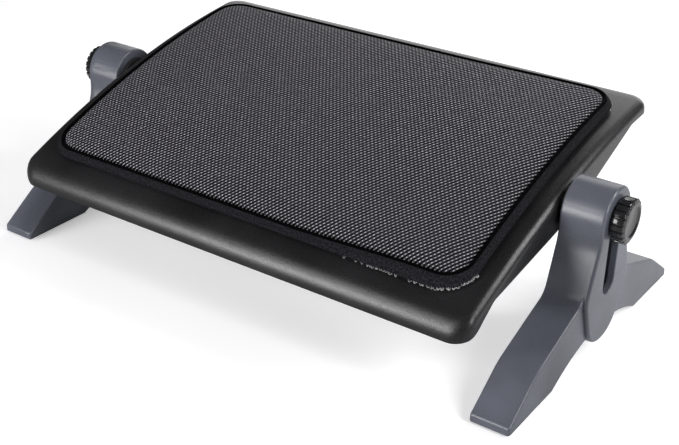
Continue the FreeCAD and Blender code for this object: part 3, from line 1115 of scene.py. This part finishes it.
def pad_point(x, y, height):
    """Point of the pad over the arched deck; the seam's right end lies further back."""
    s = settings().pad
    straight = 0.05
    bent = 0.175
    rise = eased(height, s.hem, s.seam) * eased(x, straight, bent)
    pull = s.drawn_in * eased(-y, straight, s.depth / 2) * rise
    pull += s.pushed_out * eased(y, straight, s.depth / 2) * rise
    return over_deck(x, y + s.shift + pull, height)


def over_deck(x, y, height):
    """Point at a height over the arched deck, level."""
    lean = math.asin(y / CROWN_RADIUS)
    radius = CROWN_RADIUS + height
    return Vector((x, radius * math.sin(lean), DECK_RISE - CROWN_RADIUS + radius * math.cos(lean)))


def sweep(rows, name, along, around):
    """Closed tube through rows of points, with a cloth map from the two running distances."""
    work = bmesh.new()
    flat = work.loops.layers.uv.new("cloth_map")
    grid = [[work.verts.new(point) for point in row] for row in rows]
    width = len(rows[0])
    along = along + [along[-1] + (along[-1] - along[-2])]
    for index in range(len(rows)):
        one = grid[index]
        two = grid[(index + 1) % len(rows)]
        for side in range(width):
            after = (side + 1) % width
            face = work.faces.new((one[side], two[side], two[after], one[after]))
            corners = ((index, side), (index + 1, side), (index + 1, side + 1), (index, side + 1))
            for loop, (far, wide) in zip(face.loops, corners):
                loop[flat].uv = (along[far], around[wide])
    return object_from(work, name)


def swept_profile(profile, name, step):
    """Closed profile of insets and heights swept round the pad and hung on the tray."""
    rows = []
    along = []
    for place, out, run in pad_path(step):
        row = []
        for inset, height in profile:
            point = place - out * inset
            row.append(pad_point(point.x, point.y, height))
        rows.append(row)
        along.append(run)
    last_stretch = 0.004
    around = [0.0]
    for one, two in zip(profile, profile[1:]):
        around.append(around[-1] + math.dist(one, two))
    around.append(around[-1] + last_stretch)
    swept = sweep(rows, name, along, around)
    hang(swept)
    return swept


def pad_band():
    """Band of cloth sewn round the pad, from the piping out and down to the hem."""
    s = settings().pad
    seam = s.seam_inset
    profile = [
        (seam + 0.0014, s.seam - 0.0012), (seam, s.seam + 0.0002),
        (seam - 0.0014, s.seam + 0.0001), (seam - 0.0028, s.seam - 0.0006),
        (seam * 0.44, s.seam - 0.0019), (seam * 0.29, s.seam - 0.0031),
        (seam * 0.19, s.seam - 0.0041), (seam * 0.16, s.hem + 0.0002),
        (seam * 0.20, s.hem - 0.0004), (seam * 0.36, s.hem - 0.0007),
        (seam + 0.0014, s.hem - 0.0007),
    ]
    band = swept_profile(profile, "band", 0.004)
    smooth(band, 70)
    return band


def pad_piping():
    """Round piping sewn in the seam between the mesh and the band."""
    s = settings().pad
    middle = s.seam_inset - 0.0006
    profile = []
    for angle in spaced(0.0, 2 * math.pi, 10)[:-1]:
        profile.append((middle - s.piping * math.cos(angle), s.seam + s.piping * math.sin(angle)))
    piping = swept_profile(profile, "piping", 0.003)
    smooth(piping, 80)
    return piping


def pad_base():
    """Thin cloth under the pad, drawn in from the hem."""
    s = settings().pad
    inset = 0.0026
    high = s.hem - 0.0002
    base = block((s.width - 2 * inset, s.depth - 2 * inset, high - s.base), (0, 0, (high + s.base) / 2))
    round_corners(base, s.corner - inset, 12)
    cut_across(base, spaced(-s.depth / 2, s.depth / 2, 16)[1:-1])
    for vertex in base.data.vertices:
        vertex.co = over_deck(vertex.co.x, vertex.co.y + s.shift, vertex.co.z)
    hang(base)
    smooth(base, 40)
    return base


def hem_stitches():
    """Loose overlock loops along the band's hem, thickest at the two right corners."""
    chance = random.Random(4)
    threads = bpy.data.curves.new("stitches", "CURVE")
    threads.dimensions = "3D"
    threads.bevel_depth = 0.00012
    threads.bevel_resolution = 1
    stitch_gap = 0.0012
    loose_from = 0.108
    far_share = 0.3
    front_share = 0.26
    wide = 0.0014
    narrow = 0.0006
    for place, out, run in pad_path(stitch_gap):
        on_corner = abs(out.x) > 0.05 and abs(out.y) > 0.05
        near_corner = on_corner and out.x > 0 and out.y < 0
        far_corner = on_corner and out.x > 0 and out.y > 0
        front = out.y < -0.5 and place.x > loose_from
        loops = 0
        if near_corner:
            loops = 2
        elif far_corner and chance.random() < far_share:
            loops = 1
        elif front and chance.random() < front_share:
            loops = 1
        for loop in range(loops):
            stitch_loop(threads, place, out, chance, wide if on_corner else narrow)
    activate(linked("stitches", threads))
    bpy.ops.object.convert(target="MESH")
    stitches = bpy.context.view_layer.objects.active
    hang(stitches)
    smooth(stitches, 80)
    return stitches


def stitch_loop(threads, place, out, chance, spread):
    """One hanging loop of thread near a place of the hem."""
    s = settings().pad
    tucked_in = 0.0013
    lowest = 0.0009
    side = Vector((-out.y, out.x))
    width = chance.uniform(0.0005, 0.0013)
    drop = chance.uniform(0.0005, 0.0014)
    jut = chance.uniform(0.0004, 0.0013)
    lean = chance.uniform(-0.0008, 0.0008)
    shift = chance.uniform(-spread, spread)
    high = s.hem - 0.0001 + chance.uniform(0.0, spread)
    steps = 5
    spline = threads.splines.new("POLY")
    spline.points.add(steps)
    for point, angle in zip(spline.points, spaced(0.0, math.pi, steps)):
        across = shift - math.cos(angle) * width + lean * math.sin(angle)
        spot = place + side * across + out * (jut * math.sin(angle) - tucked_in)
        height = max(high - drop * math.sin(angle), lowest)
        point.co = (*pad_point(spot.x, spot.y, height), 1)


def pad_cushion():
    """Foam core under its mesh cover, swollen a little by a cloth simulation."""
    s = settings().pad
    inset = s.seam_inset + 0.0004
    low = s.hem - 0.0002
    cushion = block((s.width - 2 * inset, s.depth - 2 * inset, s.top - low), (0, 0, (s.top + low) / 2))
    round_corners(cushion, s.corner - inset, 8)

    def rim(edge):
        high = min(corner.co.z for corner in edge.verts) > s.top - MERGE
        return high and min(abs(face.normal.z) for face in edge.link_faces) < 0.5

    edit_only(cushion, "EDGE", rim)
    bevel_selected(s.roll, 4)
    apply_modifier(cushion, "REMESH", mode="VOXEL", voxel_size=0.0031)
    swell(cushion)
    apply_modifier(cushion, "SUBSURF", levels=1, render_levels=1)
    lay_cloth_map(cushion)
    for vertex in cushion.data.vertices:
        vertex.co = pad_point(*vertex.co)
    hang(cushion)
    smooth(cushion, 80)
    return cushion


def outward(x, y):
    """Way from a place on the pad to the nearest edge of its rounded outline."""
    s = settings().pad
    over_x = abs(x) - (s.width / 2 - s.corner)
    over_y = abs(y) - (s.depth / 2 - s.corner)
    sign_x = 1 if x > 0 else -1
    sign_y = 1 if y > 0 else -1
    if over_x > 0 and over_y > 0:
        return Vector((over_x * sign_x, over_y * sign_y)).normalized()
    if over_x > over_y:
        return Vector((sign_x, 0))
    return Vector((0, sign_y))


def lay_cloth_map(piece):
    """Flat map in metres of a piece that lies level; the rolled edge runs on outwards."""
    top = settings().pad.top
    run_on = 0.8
    layer = piece.data.uv_layers.new(name="cloth_map")
    places = []
    for vertex in piece.data.vertices:
        x, y, z = vertex.co
        places.append(Vector((x, y)) + outward(x, y) * max(top - z, 0.0) * run_on)
    for loop in piece.data.loops:
        layer.data[loop.index].uv = places[loop.vertex_index]


def swell(piece):
    """Cloth simulation under pressure with the underside held, capped and applied."""
    s = settings().pad
    last_frame = 20
    cap = 0.0007
    stiffness = 25.0
    start = [vertex.co.copy() for vertex in piece.data.vertices]
    held = piece.vertex_groups.new(name="held")
    middle = (s.top + s.hem) / 2
    held.add([index for index, place in enumerate(start) if place.z < middle], 1.0, "REPLACE")
    cloth = piece.modifiers.new("cloth", "CLOTH")
    cloth.settings.use_pressure = True
    cloth.settings.uniform_pressure_force = 4.0
    cloth.settings.vertex_group_mass = held.name
    cloth.settings.effector_weights.gravity = 0.0
    cloth.settings.tension_stiffness = stiffness
    cloth.settings.compression_stiffness = stiffness
    cloth.point_cache.frame_start = 1
    cloth.point_cache.frame_end = last_frame
    for moment in range(1, last_frame + 1):
        bpy.context.scene.frame_set(moment)
    activate(piece)
    bpy.ops.object.modifier_apply(modifier=cloth.name)
    bpy.context.scene.frame_set(1)
    for vertex, rest in zip(piece.data.vertices, start):
        move = vertex.co - rest
        if move.length > cap:
            vertex.co = rest + move.normalized() * cap


# Small parts that keep their solids

class FOOTREST_OT_small_parts(Operator):
    """Give the washers, studs, inserts, rubber feet and tapes their materials"""

    bl_idname = "footrest.small_parts"
    bl_label = "Small parts"

    def execute(self, context):
        finishes = {
            "foot_pad": moulded_plastic("foot_rubber", (0.012, 0.012, 0.013), roughness=0.75,
                                        grain=900.0, depth=0.0003),
            "friction_washer": moulded_plastic("washer_rubber", (0.010, 0.010, 0.011), roughness=0.7,
                                               grain=800.0, depth=0.0003),
            "clamp_washer": moulded_plastic("washer_plastic", (0.012, 0.012, 0.013), roughness=0.5,
                                            grain=700.0, depth=0.0002),
            "threaded_insert": turned_metal("insert_brass", (0.62, 0.44, 0.19), roughness=0.35,
                                            rings_per_metre=400.0),
            "clamp_stud": turned_metal("stud_steel", (0.50, 0.50, 0.52), roughness=0.32,
                                       rings_per_metre=250.0),
            "tapes": moulded_plastic("tape_pile", (0.008, 0.008, 0.009), roughness=0.9,
                                     grain=2200.0, depth=0.0008),
        }
        for name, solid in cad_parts.items():
            for ending, material in finishes.items():
                if name.endswith(ending) and not solid.hide_render:
                    solid.data.materials.clear()
                    solid.data.materials.append(material)
        return {"FINISHED"}


class FOOTREST_PT_panel(Panel):
    """Sidebar panel that lists the footrest's pieces and settings"""

    bl_idname = "FOOTREST_PT_panel"
    bl_label = "Footrest"
    bl_space_type = "VIEW_3D"
    bl_region_type = "UI"
    bl_category = "Footrest"

    def draw(self, context):
        for operator in operators:
            self.layout.operator(operator.bl_idname)
        for name in FootrestSettings.__annotations__:
            group = getattr(settings(), name)
            box = self.layout.box()
            box.label(text=name.capitalize())
            for value in group.__annotations__:
                box.prop(group, value)


operators = (
    FOOTREST_OT_stage,
    FOOTREST_OT_tray,
    FOOTREST_OT_legs,
    FOOTREST_OT_knobs,
    FOOTREST_OT_cushion,
    FOOTREST_OT_edging,
    FOOTREST_OT_base,
    FOOTREST_OT_stitches,
    FOOTREST_OT_small_parts,
)
groups = (TraySettings, LegSettings, KnobSettings, PadSettings, FootrestSettings)
classes = groups + operators + (FOOTREST_PT_panel,)


def register():
    """Register the settings, operators and panel."""
    for kind in classes:
        bpy.utils.register_class(kind)
    bpy.types.Scene.footrest = PointerProperty(type=FootrestSettings)


def unregister():
    """Take back everything that register added."""
    del bpy.types.Scene.footrest
    for kind in reversed(classes):
        bpy.utils.unregister_class(kind)


def main():
    """Build the whole scene."""
    register()
    bpy.context.scene.view_settings.view_transform = "Standard"
    bpy.ops.footrest.stage()
    bpy.ops.footrest.tray()
    bpy.ops.footrest.legs()
    bpy.ops.footrest.knobs()
    bpy.ops.footrest.cushion()
    bpy.ops.footrest.edging()
    bpy.ops.footrest.base()
    bpy.ops.footrest.stitches()
    bpy.ops.footrest.small_parts()
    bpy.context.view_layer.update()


if __name__ == "__main__":
    main()
